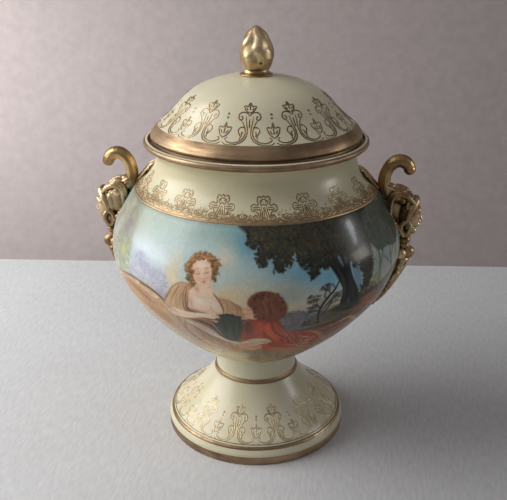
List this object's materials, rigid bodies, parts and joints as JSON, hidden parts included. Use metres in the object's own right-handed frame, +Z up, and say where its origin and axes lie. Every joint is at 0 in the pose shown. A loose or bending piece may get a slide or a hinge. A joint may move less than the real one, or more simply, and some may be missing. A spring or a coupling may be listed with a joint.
{
  "type": "porcelain vase",
  "caption": "Covered porcelain vase on a pedestal foot, with a lift-off domed lid, bud finial, gilt mask handles and a painted landscape.",
  "frame": {"origin": "centre of the foot's resting face", "axes": "+Z up, +X through the right handle, -Y the front with the painted figures"},
  "size_m": [0.2612, 0.2264, 0.33],
  "materials": {
    "painted_porcelain": "gloss glaze over a painted scene",
    "ivory_porcelain": "gloss glaze",
    "gilt_porcelain": "burnished gold over glaze",
    "steel": "plain",
    "cork": "cork"
  },
  "bodies": {
    "vase": {"vessel_body": "painted_porcelain", "stem_collar": "ivory_porcelain", "foot": "ivory_porcelain", "bowl_gasket": "cork", "bowl_washer": "steel", "tie_bolt": "steel", "foot_gasket": "cork", "foot_washer": "steel", "foot_nut": "steel", "handle_scroll_left": "gilt_porcelain", "handle_strut_left": "gilt_porcelain", "handle_bracket_left": "gilt_porcelain", "handle_mask_left": "gilt_porcelain", "handle_drop_left": "gilt_porcelain", "handle_scroll_right": "gilt_porcelain", "handle_strut_right": "gilt_porcelain", "handle_bracket_right": "gilt_porcelain", "handle_mask_right": "gilt_porcelain", "handle_drop_right": "gilt_porcelain"},
    "lid": {"lid_shell": "ivory_porcelain", "finial_collar": "gilt_porcelain", "finial_bud": "gilt_porcelain"}
  },
  "joints": [
    {"name": "lid_lift", "type": "slide", "parent": "vase", "child": "lid", "axis": [0, 0, 1], "range_m": [0, 0.1]}
  ]
}
